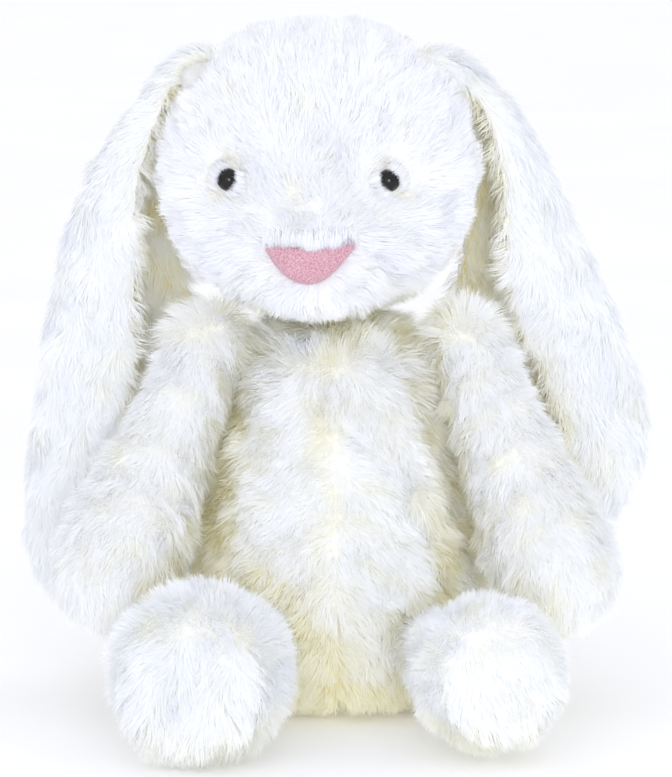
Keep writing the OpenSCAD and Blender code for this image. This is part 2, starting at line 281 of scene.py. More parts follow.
def nose_material():
    shade = Shade("nose_velour")
    speckle = shade.noise(1900, 2.0, 0.7)
    shade.set(base_color=shade.ramp(speckle, (0.34, (0.52, 0.24, 0.31)), (0.5, (0.69, 0.37, 0.45)),
                                    (0.66, (0.84, 0.60, 0.67))))
    shade.set(roughness=0.9, sheen_weight=0.35, sheen_roughness=0.4, specular_ior_level=0.15)
    shade.bump(speckle, 0.9, 0.0007)
    return shade.material


def plastic_material(name, dark, light, roughness, coat=0.0):
    shade = Shade(name)
    marks = shade.noise(260, 3.0)
    shade.set(base_color=shade.ramp(marks, (0.35, dark), (0.7, light)), roughness=roughness)
    shade.set(coat_weight=coat, coat_roughness=0.03, specular_ior_level=0.3)
    shade.bump(marks, 0.05, 0.0002)
    return shade.material


def cloth_material(name, dark, light, threads):
    """Plain woven cloth, with that many threads to a metre."""
    shade = Shade(name)

    def bands(way):
        inputs = {"Vector": shade.place(), "Scale": threads * math.pi / 10, "Distortion": 0.4}
        return shade.node("ShaderNodeTexWave", inputs, bands_direction=way).outputs["Fac"]

    weave = shade.node("ShaderNodeMath", {0: bands("X"), 1: bands("Z")}, operation="MULTIPLY").outputs[0]
    shade.set(base_color=shade.ramp(weave, (0.0, dark), (0.8, light)), roughness=0.9)
    shade.bump(weave, 0.5, 0.0003)
    return shade.material


def fibre_material():
    shade = Shade("polyester_fibre")
    strands = shade.noise(420, 8.0, 0.8)
    shade.set(base_color=shade.ramp(strands, (0.3, (0.74, 0.74, 0.72)), (0.65, (0.9, 0.9, 0.89))))
    shade.set(roughness=0.95, sheen_weight=0.3)
    shade.bump(strands, 0.8, 0.001)
    return shade.material


# ---- Skins: closed, stuffed shapes measured on the CAD solids ----

# How far under the CAD surface, which is the pressed fur, the backing cloth lies
BACKING_DEPTH = 5 * MM
# How much of its own lumps a skin loses when it is brought to its depth
SETTLE_SHARE = 0.8
# How far a panel puffs out between its seams
SWELL = 3 * MM
VOXEL = 4.5 * MM


def star_skin(name, *nodes):
    """A closed mesh over the outside of CAD nodes whose whole surface can be seen from their middle."""
    co = np.concatenate([coordinates(frame["nodes"][n].data) for n in nodes])
    axes = np.linalg.eigh(np.cov((co - co.mean(0)).T))[1]
    along = co @ axes
    middle = axes @ ((along.min(0) + along.max(0)) / 2)
    reach = (along.max(0) - along.min(0)) / 2
    tree = cad_tree(*nodes)
    bm = bmesh.new()
    bmesh.ops.create_icosphere(bm, subdivisions=5, radius=1)
    for v in bm.verts:
        out = Vector(unit(axes @ (reach * np.array(v.co))))
        start = Vector(middle) + out
        hit = tree.ray_cast(start, -out)[0]
        v.co = hit if hit is not None else Vector(middle) + out * float(reach.min())
    return object_from(bm, name)


def lathe_skin(name, profile, around=96):
    """A closed surface of revolution about Z from a profile of (radius, height) that starts and ends on Z."""
    bm = bmesh.new()
    rings = []
    for r, z in profile[1:-1]:
        angles = [2 * math.pi * k / around for k in range(around)]
        rings.append([bm.verts.new((r * math.cos(a), r * math.sin(a), z)) for a in angles])
    for low, high in zip(rings, rings[1:]):
        for k in range(around):
            bm.faces.new((low[k], low[(k + 1) % around], high[(k + 1) % around], high[k]))
    for ring, (_, z), turn in ((rings[0], profile[0], -1), (rings[-1], profile[-1], 1)):
        pole = bm.verts.new((0, 0, z))
        for k in range(around):
            bm.faces.new((ring[k], ring[(k + 1) % around], pole)[::turn])
    return object_from(bm, name)


def torso_profile(steps=60):
    """The torso's outline, measured on its back, where no limb is."""
    nodes = ("torso_front_left", "torso_front_right", "torso_back", "torso_seat")
    tree = cad_tree(*nodes)
    low, high = box_of(*nodes)
    profile = [(0, low[2])]
    for i in range(steps):
        z = low[2] + (high[2] - low[2]) * (i + 0.5) / steps
        hit = tree.ray_cast(Vector((0, 1, z)), Vector((0, -1, 0)))[0]
        if hit is not None:
            if len(profile) == 1:
                profile += [(hit.y * share, low[2]) for share in (0.3, 0.6, 0.9)]
            profile.append((hit.y, z))
    return profile + [(0, high[2])]


def remesh(obj, voxel):
    modifier = obj.modifiers.new("remesh", "REMESH")
    modifier.mode = "VOXEL"
    modifier.voxel_size = voxel
    apply_modifiers(obj)


def shrink(obj, depth, passes=3):
    """Moves the surface inwards by that depth, a little at a time so that it stays smooth."""
    for _ in range(passes):
        co = coordinates(obj.data) - vertex_normals(obj.data) * depth / passes
        set_coordinates(obj.data, co)
        relax(obj, 0.5)


def weld_and_subdivide(obj, levels):
    weld = obj.modifiers.new("weld", "WELD")
    weld.merge_threshold = 0.01 * MM
    subdivision = obj.modifiers.new("subdivision", "SUBSURF")
    subdivision.subdivision_type = "SIMPLE"
    subdivision.levels = levels
    apply_modifiers(obj)


def relax(obj, factor, repeat=1):
    modifier = obj.modifiers.new("relax", "SMOOTH")
    modifier.factor = factor
    modifier.iterations = repeat
    apply_modifiers(obj)


def puff(obj, seam_distance, swell=SWELL, pressure=4.0, frames=20):
    """Blows the skin up like a stuffed one: the cloth swells between its seams, which hold still."""
    start = coordinates(obj.data)
    on_seam = np.flatnonzero(seam_distance(start) < VOXEL * 0.55)
    seams = obj.vertex_groups.new(name="seams")
    seams.add([int(i) for i in on_seam], 1.0, "REPLACE")
    cloth = obj.modifiers.new("cloth", "CLOTH")
    cloth.settings.quality = 5
    cloth.settings.mass = 0.3
    cloth.settings.tension_stiffness = 12
    cloth.settings.compression_stiffness = 12
    cloth.settings.bending_stiffness = 0.3
    cloth.settings.use_pressure = True
    cloth.settings.uniform_pressure_force = pressure
    cloth.settings.effector_weights.gravity = 0
    cloth.settings.vertex_group_mass = "seams"
    for f in range(1, frames + 1):
        bpy.context.scene.frame_set(f)
    evaluated = obj.evaluated_get(bpy.context.evaluated_depsgraph_get())
    move = coordinates(evaluated.data) - start
    obj.modifiers.clear()
    obj.vertex_groups.clear()
    size = np.linalg.norm(move, axis=1, keepdims=True)
    set_coordinates(obj.data, start + move * np.minimum(1, swell / np.maximum(size, 1e-9)))
    bpy.context.scene.frame_set(1)


def surface_tree(obj):
    return BVHTree.FromObject(obj, bpy.context.evaluated_depsgraph_get())


def settle(obj, outer, depth):
    """Brings the skin to that depth under the outer surface, and keeps a part of its own lumps."""
    co, out = coordinates(obj.data), vertex_normals(obj.data)
    gap = np.array([outer.find_nearest(Vector(p))[3] for p in co])
    set_coordinates(obj.data, co + out * ((gap - depth) * SETTLE_SHARE)[:, None])


def stuffed_skin(obj, seam_distance, material, body, *nodes, depth=BACKING_DEPTH, fill=0.8):
    """Remeshes, shrinks, puffs and subdivides a skin, and gives it its place in the frame."""
    remesh(obj, VOXEL)
    outer = surface_tree(obj)
    shrink(obj, depth + SWELL)
    puff(obj, seam_distance)
    relax(obj, 0.5, 2)
    subdivision = obj.modifiers.new("subdivision", "SUBSURF")
    subdivision.levels = 1
    apply_modifiers(obj)
    settle(obj, outer, depth)
    shade_smooth(obj)
    obj.data.materials.clear()
    obj.data.materials.append(material)
    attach(obj, body)
    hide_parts(*nodes)
    return obj


# ---- Fur: real strands, in tufts, combed along a flow ----

# Places along a strand where it has a pair of points, and its width there; the tip is one point
STATIONS = (0.0, 0.5)
STATION_WIDTHS = (1.0, 0.85)


def scatter(mesh, density, rng):
    """Points spread over a mesh, that many to a square millimetre, with normals and vertex weights."""
    mesh.calc_loop_triangles()
    corners = np.empty(len(mesh.loop_triangles) * 3, np.int32)
    mesh.loop_triangles.foreach_get("vertices", corners)
    corners = corners.reshape(-1, 3)
    co, normals = coordinates(mesh), vertex_normals(mesh)
    a, b, c = (co[corners[:, i]] for i in range(3))
    areas = np.linalg.norm(np.cross(b - a, c - a), axis=1) / 2
    count = int(areas.sum() / MM ** 2 * density)
    chosen = rng.choice(len(areas), count, p=areas / areas.sum())
    u, v = rng.random(count), rng.random(count)
    over = u + v > 1
    u[over], v[over] = 1 - u[over], 1 - v[over]
    weights = np.stack((1 - u - v, u, v), axis=1)
    place = (co[corners[chosen]] * weights[..., None]).sum(1)
    normal = unit((normals[corners[chosen]] * weights[..., None]).sum(1))
    return place, normal, corners[chosen], weights


def tuft_owners(roots, size, rng):
    """For each strand, the strand at the middle of its tuft. A tuft is about that many metres across."""
    cells = len(np.unique(np.floor(roots / size), axis=0))
    middles = rng.choice(len(roots), cells, replace=False)
    tree = kdtree.KDTree(len(middles))
    for i in middles:
        tree.insert(roots[i], int(i))
    tree.balance()
    return np.array([tree.find(p)[1] for p in roots])


def fur_mesh(name, lines, sides, widths, tone):
    """Builds the strands' mesh: lines holds each strand's stations and tip, sides its ribbon's direction."""
    count, rows = len(lines), len(STATIONS)
    points = np.empty((count, 2 * rows + 1, 3))
    for k, share in enumerate(STATION_WIDTHS):
        half = sides * (widths * share / 2)[:, None]
        points[:, 2 * k] = lines[:, k] - half
        points[:, 2 * k + 1] = lines[:, k] + half
    points[:, -1] = lines[:, -1]
    loop = []
    for k in range(rows - 1):
        loop += [2 * k, 2 * k + 1, 2 * k + 3, 2 * k + 2]
    loop += [2 * rows - 2, 2 * rows - 1, 2 * rows]
    loops = (np.arange(count)[:, None] * (2 * rows + 1) + np.array(loop)).astype(np.int32)
    starts = np.arange(count)[:, None] * len(loop) + np.arange(rows) * 4
    mesh = bpy.data.meshes.new(name)
    mesh.vertices.add(count * (2 * rows + 1))
    mesh.vertices.foreach_set("co", points.astype(np.float32).ravel())
    mesh.loops.add(loops.size)
    mesh.loops.foreach_set("vertex_index", loops.ravel())
    mesh.polygons.add(count * rows)
    mesh.polygons.foreach_set("loop_start", starts.astype(np.int32).ravel())
    mesh.polygons.foreach_set("use_smooth", np.ones(count * rows, bool))
    along = np.array((*np.repeat(STATIONS, 2), 1.0))
    half_column = 0.004
    across = np.array((*([-half_column, half_column] * rows), 0.0))
    uv = np.empty((count, 2 * rows + 1, 2))
    uv[..., 0] = np.clip(tone[:, None], 0.01, 0.99) + across
    uv[..., 1] = 0.02 + 0.96 * along
    layer = mesh.uv_layers.new(name=STRAND_UV)
    layer.data.foreach_set("uv", uv[:, loop].astype(np.float32).ravel())
    mesh.update(calc_edges=True)
    return new_object(name, mesh)


class Coat:
    """How one region's fur grows, in metres.

    Lift, a number or a function, is how far the strands stand up. Aim, if there is one, gives each root
    the point its strand bends at and the one it ends at, in place of all that.
    """

    # The cream amount is how far the fur turns cream where its skin is hidden by other parts: painted shade.
    def __init__(self, flow, length=11 * MM, lift=0.55, width=0.34 * MM, density=3.0, tuft=4.5 * MM,
                 gather=0.35, ruffle=0.55, cream=1.0, tone=None, shorten=None, keep=None, aim=None):
        self.flow, self.length, self.lift, self.width = flow, length, lift, width
        self.density, self.tuft, self.gather, self.ruffle = density, tuft, gather, ruffle
        self.cream, self.tone, self.shorten, self.keep, self.aim = cream, tone, shorten, keep, aim


FLOOR_CLEARANCE = 0.5 * MM
# The most faces in one piece of fur
MOST_FACES = 195_000


def grow(name, skin, body, coat, shade_of, material, seed):
    """Grows one piece of fur on a skin."""
    rng = np.random.default_rng(seed)
    roots, normals, corners, weights = scatter(skin.data, coat.density, rng)
    if coat.keep is not None:
        kept = coat.keep(roots, normals)
        roots, normals, corners, weights = roots[kept], normals[kept], corners[kept], weights[kept]
    count = len(roots)
    lean = unit(coat.flow(roots, normals))
    swirl = unit(np.cross(normals, lean))
    lean = lean + swirl * (coat.ruffle * ripples(roots, 14 * MM, seed + 1))[:, None]
    lean = lean + swirl * (coat.ruffle * 0.8 * rng.normal(size=count))[:, None]
    lean = unit(lean - normals * (lean * normals).sum(1)[:, None])
    length = coat.length * rng.uniform(0.72, 1.12, count) * (1 + 0.12 * ripples(roots, 9 * MM, seed + 2))
    if coat.shorten is not None:
        length = length * coat.shorten(roots)
    lift = coat.lift(roots, normals) if callable(coat.lift) else coat.lift
    lift = lift * (1 + 0.25 * ripples(roots, 11 * MM, seed + 3)) + 0.08 * rng.normal(size=count)
    lift = np.clip(lift, 0.12, 0.95)
    rise = (length * lift)[:, None] * normals
    run = (length * np.sqrt(1 - lift ** 2))[:, None] * lean
    tip = roots + rise + run
    bend = roots + rise * 0.75 + run * 0.2
    if coat.aim is not None:
        bend, tip = coat.aim(roots, rng)
    for size, gather in ((coat.tuft, coat.gather), (coat.tuft * 0.35, coat.gather * 0.9)):
        owner = tuft_owners(roots, size, rng)
        pull = gather * rng.uniform(0.6, 1.0, count)[:, None]
        tip = tip + (tip[owner] - tip) * pull
        bend = bend + (bend[owner] - bend) * pull * 0.35
    tip = tip + rng.normal(size=(count, 3)) * 0.4 * MM
    t = np.array((*STATIONS, 1.0))[None, :, None]
    base = (roots - normals * 0.6 * MM)[:, None]
    lines = base * (1 - t) ** 2 + bend[:, None] * 2 * t * (1 - t) + tip[:, None] * t ** 2
    lines[..., 2] = np.maximum(lines[..., 2], FLOOR_CLEARANCE)
    sides = unit(np.cross(tip - roots, normals) + 1e-9)
    sides = unit(sides + normals * rng.normal(size=count)[:, None] * 0.45)
    widths = coat.width * rng.uniform(0.6, 1.3, count)
    # Painted shade: the fur turns cream where other parts hide its skin, and where the coat's tone paints
    # more. The ripples and noise below vary it at random.
    tone = coat.cream * (shade_of[corners] * weights).sum(1)
    if coat.tone is not None:
        tone = tone + coat.tone(roots)
    tone = tone + 0.10 * ripples(roots, 12 * MM, seed + 4) + 0.07 * rng.normal(size=count)
    # Shuffled already, so each of the pieces covers the whole skin thinly
    pieces = math.ceil(count * len(STATIONS) / MOST_FACES)
    for k in range(pieces):
        part = slice(k, None, pieces)
        fur = fur_mesh(f"{name}_{k + 1}", lines[part], sides[part], widths[part], tone[part])
        fur.data.materials.append(material)
        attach(fur, body)


# ---- Pieces ----

FUR = fur_material("fur_pile")
HEAD_FUR_PAINTED_SHADE = fur_material("head_pile_painted_shade")
BODY_FUR_PAINTED_LIGHT = fur_material("body_pile_painted_light")
BACKING = skin_material()
LIMB_NODES = {
    "arm": ("outer", "inner"),
    "leg": ("outer", "inner", "sole"),
}
TORSO_NODES = ("torso_front_left", "torso_front_right", "torso_back", "torso_seat")
HEAD_NODES = ("head_side_left", "head_side_right", "head_gusset", "muzzle_panel")
# The gusset's half width and the head's turn, as in the frame's source
GUSSET_HALF = 14 * MM
HEAD_TURN = math.radians(4)


def body_of(part):
    """The body a skinned part rides on: each has its own, but for the tail."""
    return "torso" if part == "tail" else part


def copy_of(node, name):
    mesh = frame["nodes"][node].data.copy()
    mesh.materials.clear()
    return new_object(name, mesh)


def torso_seams(co):
    front = np.where(co[:, 1] < 0, np.abs(co[:, 0]), 1.0)
    return np.minimum(np.minimum(front, np.abs(co[:, 1])), np.abs(co[:, 2] - 9 * MM))


def head_middle():
    low, high = box_of("head_side_left", "head_side_right")
    return (low + high) / 2


def in_head(co):
    """Points in the head's own frame, where X goes from ear to ear."""
    x, y, z = (co - head_middle()).T
    c, s = math.cos(HEAD_TURN), math.sin(HEAD_TURN)
    return np.stack((x * c - y * s, x * s + y * c, z), axis=1)


def head_seams(co):
    return np.abs(np.abs(in_head(co)[:, 0]) - GUSSET_HALF)


# The radius of an arm's paw and of a leg's foot
END_RADIUS = {"arm": 27 * MM, "leg": 33 * MM}


def limb_axis(kind, side):
    """Where a limb starts, and the unit way from there to the middle of its paw or foot."""
    start = joint_place(f"{kind}_{side}_swing")
    low, high = box_of(*(f"{kind}_{side}_{n}" for n in LIMB_NODES[kind]))
    outermost = high[0] if SIDES[side] > 0 else low[0]
    height = low[2] if kind == "arm" else (low[2] + high[2]) / 2
    outwards = np.array((SIDES[side], -1, -1 if kind == "arm" else 0))
    end = np.array((outermost, low[1], height)) - END_RADIUS[kind] * outwards
    return start, unit(end - start)


def limb_seams(kind, side):
    start, way = limb_axis(kind, side)
    across = unit(np.cross(way, UP))

    def distance(co):
        return np.abs((co - start) @ unit(np.cross(across, way)))

    return distance


# The two feet differ a little: how deep each leg's backing lies and how long its fur is
FOOT_DEPTH = {"left": 7.5 * MM, "right": 4 * MM}
FOOT_FUR = {"left": 8.5 * MM, "right": 11 * MM}


def build_skins():
    skins = {}
    torso = lathe_skin("torso_skin", torso_profile())
    skins["torso"] = stuffed_skin(torso, torso_seams, BACKING, "torso", *TORSO_NODES)
    head = star_skin("head_skin", *HEAD_NODES, "eye_left", "eye_right")
    skins["head"] = stuffed_skin(head, head_seams, BACKING, "head", *HEAD_NODES)
    tail = star_skin("tail_skin_cloth", "tail_skin")
    far = (lambda co: np.full(len(co), 1.0))
    skins["tail"] = stuffed_skin(tail, far, BACKING, "torso", "tail_skin", depth=4 * MM)
    for side in SIDES:
        for kind, parts in LIMB_NODES.items():
            nodes = [f"{kind}_{side}_{n}" for n in parts]
            skin = star_skin(f"{kind}_{side}_skin", *nodes)
            depth = FOOT_DEPTH[side] if kind == "leg" else BACKING_DEPTH
            skins[f"{kind}_{side}"] = stuffed_skin(
                skin, limb_seams(kind, side), BACKING, f"{kind}_{side}", *nodes, depth=depth)
        skins[f"ear_{side}"] = ear_skin(side)
    return skins


# The ear's fabric: its cloth's thickness, the room its pile takes, and how fine its mesh is
EAR_CLOTH = 2.6 * MM
EAR_PILE_ROOM = 2.4 * MM
EAR_VOXEL = 2.4 * MM


def outer_face(side):
    """A test for points of an ear's fur fabric that aren't on the face its lining covers."""
    tree = cad_tree(f"ear_{side}_lining")

    def test(points, normals):
        found = [tree.find_nearest(Vector(p)) for p in points]
        to_lining = np.array([f[0] for f in found]) - points
        return (unit(to_lining) * normals).sum(1) < 0.35

    return test


def ear_rim(side, normals):
    """1 on the rims of an ear's fabric, which face its head, and 0 elsewhere."""
    return smooth_step(0.25, 0.75, -normals[:, 0] * SIDES[side])


def ear_skin(side):
    ear = copy_of(f"ear_{side}_fur", f"ear_{side}_skin")
    remesh(ear, EAR_VOXEL)
    relax(ear, 0.5, 2)
    co, out = coordinates(ear.data), vertex_normals(ear.data)
    tree = surface_tree(ear)
    thickness = np.zeros(len(co))
    for i, (p, n) in enumerate(zip(co, out)):
        hit = tree.ray_cast(Vector(p - n * 0.2 * MM), Vector(-n))
        thickness[i] = hit[3] if hit[0] is not None else 0
    move = np.clip(thickness - EAR_CLOTH, 0, EAR_PILE_ROOM) * (1 - ear_rim(side, out))
    move[~outer_face(side)(co, out)] = 0
    set_coordinates(ear.data, co - out * move[:, None])
    relax(ear, 0.5, 2)
    shade_smooth(ear)
    ear.data.materials.append(BACKING)
    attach(ear, f"ear_{side}")
    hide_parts(f"ear_{side}_fur")
    return ear


# How far a lining's rim lies inside the rim of its ear's fur, and how much of the lining that draws in
RIM_INSET = 2.5 * MM
RIM_REACH = 9 * MM


def draw_in_rim(co, out, side):
    """Draws a lining's rim back towards the ear's fold."""
    rim = np.flatnonzero(out[:, 0] * SIDES[side] < -0.6)
    tree = kdtree.KDTree(len(rim))
    for i in rim:
        tree.insert(co[i], int(i))
    tree.balance()
    near = np.array([tree.find(p)[2] for p in co])
    co[:, 0] += SIDES[side] * RIM_INSET * (1 - smooth_step(0, RIM_REACH, near))
    return co


def ear_lining(side, material):
    lining = copy_of(f"ear_{side}_lining", f"ear_{side}_velvet")
    weld_and_subdivide(lining, 2)
    relax(lining, 0.5, 6)
    co, out = coordinates(lining.data), vertex_normals(lining.data)
    co = draw_in_rim(co, out, side)
    set_coordinates(lining.data, co + out * (0.3 * MM * ripples(co, 22 * MM, 71))[:, None])
    shade_smooth(lining)
    lining.data.materials.append(material)
    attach(lining, f"ear_{side}")
    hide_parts(f"ear_{side}_lining")
    return lining


# ---- How hidden each part of a skin is: the fur is painted cream where it is deep, as painted shade ----

OCCLUSION_RAYS = 12
OCCLUSION_REACH = 55 * MM
# How far above the skin the rays start, and how much the pale floor counts beside another surface
OCCLUSION_START = 6 * MM
FLOOR_OCCLUSION = 0.6


def hidden_shares(skins):
    """For each skin, its vertices' share of directions that another surface blocks."""
    points, faces = [], []
    for skin in skins.values():
        first = len(points)
        points += [v.co.copy() for v in skin.data.vertices]
        faces += [[first + i for i in p.vertices] for p in skin.data.polygons]
    tree = BVHTree.FromPolygons(points, faces)
    rng = np.random.default_rng(5)
    ways = unit(rng.normal(size=(OCCLUSION_RAYS, 3)))
    painted_shade_shares = {}
    for name, skin in skins.items():
        co, out = coordinates(skin.data), vertex_normals(skin.data)
        blocked = np.zeros(len(co))
        for i, (p, n) in enumerate(zip(co, out)):
            start = p + n * OCCLUSION_START
            for way in ways:
                d = unit(way + n * 1.02)
                if start[2] + d[2] * OCCLUSION_REACH < 0:
                    blocked[i] += FLOOR_OCCLUSION
                elif tree.ray_cast(Vector(start), Vector(d), OCCLUSION_REACH)[0] is not None:
                    blocked[i] += 1
        painted_shade_shares[name] = smooth_step(0.1, 0.85, blocked / OCCLUSION_RAYS)
    return painted_shade_shares


# ---- How each part's fur lies ----

# Heights on the frame near which the fur's length and lie change
NECK = joint_place("neck_nod")[2]
SHOULDER = joint_place("arm_left_swing")[2]
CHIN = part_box("muzzle_panel")[0][2]
EYE_HEIGHT = sum(corner[2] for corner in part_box("eye_left")) / 2
# Where the fur of the face ends and that of the head's back starts, along Y
FACE_END = -15 * MM
BACK_START = 35 * MM


def nose_middle():
    low, high = box_of("nose_patch")
    return (low + high) / 2


def eye_place(side):
    co = coordinates(frame["nodes"][f"eye_{side}"].data)
    return co[co[:, 1] < co[:, 1].min() + 2 * MM].mean(0)


# How far each eye's opening leans, as a turn about the way it looks, and how far from its middle the
# fur on the nose's side and on the outer side comes
EYE_LEAN = {"left": math.radians(30), "right": math.radians(-24)}
LID_INNER = 2.6 * MM
LID_OUTER = 3.6 * MM
# How much narrower the opening is at its ends, and the ring round the eye's middle where its fur roots
LID_NARROWING = 0.55
LID_ROOTS = (5 * MM, 9 * MM)
# How far from an eye's middle the head's own fur starts
EYE_CLEARANCE = 6.5 * MM


def eye_offsets(p, side):
    """From an eye, across its slanted lids and along them, seen from the front; and how far."""
    eye = eye_place(side)
    lean = EYE_LEAN[side]
    across = np.array((math.cos(lean), 0, math.sin(lean)))
    along = np.array((-math.sin(lean), 0, math.cos(lean)))
    off = p - eye
    return across, off @ across, off @ along, np.hypot(off[:, 0], off[:, 2])


def lids(side):
    """The fur on both long sides of an eye, aimed over the bead's edge so that it opens like an almond."""
    eye = coordinates(frame["nodes"][f"eye_{side}"].data)
    front = eye[:, 1].min()
    radius = (eye[:, 0].max() - eye[:, 0].min()) / 2
    middle = eye_place(side)

    def keep(roots, normals):
        _, across, along, away = eye_offsets(roots, side)
        beside = (np.abs(across) > 2.6 * MM) & (np.abs(along) < 6 * MM)
        return beside & (away > LID_ROOTS[0]) & (away < LID_ROOTS[1]) & (roots[:, 1] < 0)

    def aim(roots, rng):
        way, across, along, _ = eye_offsets(roots, side)
        up = np.cross(way, (0, 1, 0))
        up = up * np.sign(up[2])
        turn = np.sign(across)
        ends = np.clip(np.abs(along) / radius, 0, 1)
        widest = np.where(turn * SIDES[side] > 0, LID_OUTER, LID_INNER)
        open_half = widest * (1 - LID_NARROWING * ends ** 2) + 0.45 * MM * rng.normal(size=len(roots))
        rise = along * 0.9
        reach = np.hypot(open_half, rise)
        sunk = radius - np.sqrt(np.maximum(radius ** 2 - reach ** 2, 0))
        tip = middle + way * (turn * open_half)[:, None] + up * rise[:, None]
        tip[:, 1] = front + sunk - 0.25 * MM
        bend = middle + way * (turn * (radius + 0.3 * MM))[:, None] + up * along[:, None]
        bend[:, 1] = front + 0.15 * MM
        return bend, tip

    return Coat(head_flow, density=7, tuft=2.5 * MM, gather=0.3, keep=keep, aim=aim, cream=0.6)


def brow():
    """The tufts above the nose, aimed down over its top edge."""
    low, high = box_of("nose_patch")
    tree = cad_tree("nose_patch")
    half = (high[0] - low[0]) / 2
    middle = nose_middle()

    def keep(roots, normals):
        x, z = (roots[:, 0] - middle[0]) / half, roots[:, 2]
        # Thinner upwards and sideways, so that the tufts have no edge of their own
        share = smooth_step(9 * MM, 1 * MM, z - high[2]) * smooth_step(1.05, 0.8, np.abs(x))
        drawn = (roots[:, 0] / (0.01 * MM)) % 1
        return (drawn < share) & (z > high[2] - 2 * MM) & (roots[:, 1] < 0)

    def aim(roots, rng):
        tip = roots.copy()
        tip[:, 0] += 1.2 * MM * rng.normal(size=len(roots))
        overlap = (0.3 + 1.1 * ripples(roots[:, :1] * (1, 0, 0), 7 * MM, 61)) * MM
        for i, p in enumerate(tip):
            for drop in np.arange(0, 6, 0.5) * MM:
                hit = tree.ray_cast(Vector((p[0], -1, high[2] - drop)), Vector((0, 1, 0)))[0]
                if hit is not None:
                    break
            p[2] = high[2] - drop - max(overlap[i], -1.5 * MM) - rng.uniform(-0.8, 0.8) * MM
            p[1] = (hit.y if hit is not None else p[1]) + NOSE_SET_BACK - rng.uniform(0.1, 0.9) * MM
        bend = (roots + tip) / 2
        bend[:, 1] = tip[:, 1] - 0.8 * MM
        return bend, tip

    return Coat(head_flow, density=9, width=0.3 * MM, tuft=2.5 * MM, gather=0.3, keep=keep, aim=aim,
                cream=0.2)


def head_painted_shade_and_patches(p):
    """Painted shade, as cream, in the corners of the eyes. The fur is also creamier in a few faint patches on
    the forehead.
    """
    forehead = smooth_step(EYE_HEIGHT, EYE_HEIGHT + 20 * MM, p[:, 2])
    tone = 0.1 * smooth_step(0.6, 1.6, ripples(p, 16 * MM, 91)) * forehead
    for side in SIDES:
        _, across, along, _ = eye_offsets(p, side)
        # Painted shade: the corners of the eyes are painted cream.
        corner = np.exp(-((across / (2.6 * MM)) ** 2)) * smooth_step(3.5 * MM, 5.5 * MM, np.abs(along))
        tone = tone + 0.4 * corner * smooth_step(13 * MM, 7 * MM, np.abs(along)) * (p[:, 1] < 0)
    return tone


def head_flow(p, n):
    from_nose = unit(p - (nose_middle() + np.array((0, 12 * MM, 0))))
    down = np.broadcast_to(-UP, p.shape)
    back = smooth_step(FACE_END, BACK_START, p[:, 1])[:, None]
    return from_nose * (1 - back) + down * back


def torso_flow(p, n):
    away = np.sign(p[:, 0]) * np.exp(-np.abs(p[:, 0]) / (14 * MM)) * (p[:, 1] < 0)
    away = away * smooth_step(NECK - 3 * MM, NECK - 28 * MM, p[:, 2])
    return np.stack((0.7 * away, 0 * away, -np.ones(len(p))), axis=1)


def limb_flow(kind, side):
    """Down the limb, straight down on its far end, and forwards on an arm, most of all on its shoulder."""
    start, way = limb_axis(kind, side)

    def flow(p, n):
        end = smooth_step(0.3, 0.8, n @ way)[:, None]
        shoulder = smooth_step(50 * MM, 10 * MM, (p - start) @ way)[:, None]
        forwards = np.array((0, -1, 0)) * (0.4 + 0.8 * shoulder) if kind == "arm" else 0
        return (way + forwards) * (1 - end) - UP * (0.45 + 0.6 * end)

    return flow


# How near the ear's fur fabric has to be for the lining's side next to it to grow no pile
LINING_GAP = 7 * MM


def inner_pile(side):
    """Keeps the strands of a lining on its open side, away from the ear's fur fabric."""
    tree = cad_tree(f"ear_{side}_fur")

    def meets(roots, ways):
        hits = [tree.ray_cast(Vector(p), Vector(w), LINING_GAP)[0] for p, w in zip(roots, ways)]
        return np.array([hit is not None for hit in hits])

    def keep(roots, normals):
        return meets(roots, -normals) & ~meets(roots, normals)

    return keep


def ear_flow(side):
    root = joint_place(f"ear_{side}_swing")

    def flow(p, n):
        fall = smooth_step(0, 75 * MM, root[2] - p[:, 2])
        along = np.stack((SIDES[side] * (1 - fall) * 0.9, 0 * fall, -0.35 - 0.65 * fall), axis=1)
        inward = np.stack((-SIDES[side] + 0 * fall, 0 * fall, -0.8 + 0 * fall), axis=1)
        rim = ear_rim(side, n)[:, None]
        return along * (1 - rim) + inward * rim

    return flow


def ear_lift(side):
    return lambda p, n: 0.34 + 0.45 * ear_rim(side, n)


def tail_flow(p, n):
    low, high = box_of("tail_skin")
    return p - (low + high) / 2 + np.array((0, 0, -5 * MM))


def torso_lift(p, n):
    return 0.74 + 0.16 * smooth_step(NECK - 5 * MM, NECK + 11 * MM, p[:, 2])


def arm_lift(p, n):
    return 0.68 + 0.08 * smooth_step(SHOULDER - 15.5 * MM, SHOULDER + 8.5 * MM, p[:, 2])


def torso_length(p):
    """The fur is longest round the neck."""
    return 1 + 0.65 * smooth_step(NECK - 15 * MM, NECK + 7 * MM, p[:, 2])


def arm_length(p):
    """The fur is longest on the shoulder, where it fills the gap below the head."""
    return 1 + 0.4 * smooth_step(SHOULDER - 22.5 * MM, SHOULDER + 4.5 * MM, p[:, 2])


def head_length(p):
    """The fur is short near the eyes and the nose, and longest under the chin."""
    share = 1 + 0.35 * smooth_step(CHIN + 8 * MM, CHIN - 12 * MM, p[:, 2])
    for side in SIDES:
        away = eye_offsets(p, side)[3]
        share *= 1 - (1 - smooth_step(7 * MM, 16 * MM, away)) * 0.55 * (p[:, 1] < 0)
    away = np.linalg.norm((p - nose_middle()) / np.array((1.6, 1, 1)), axis=1)
    return share * (0.76 + 0.24 * smooth_step(10 * MM, 30 * MM, away))


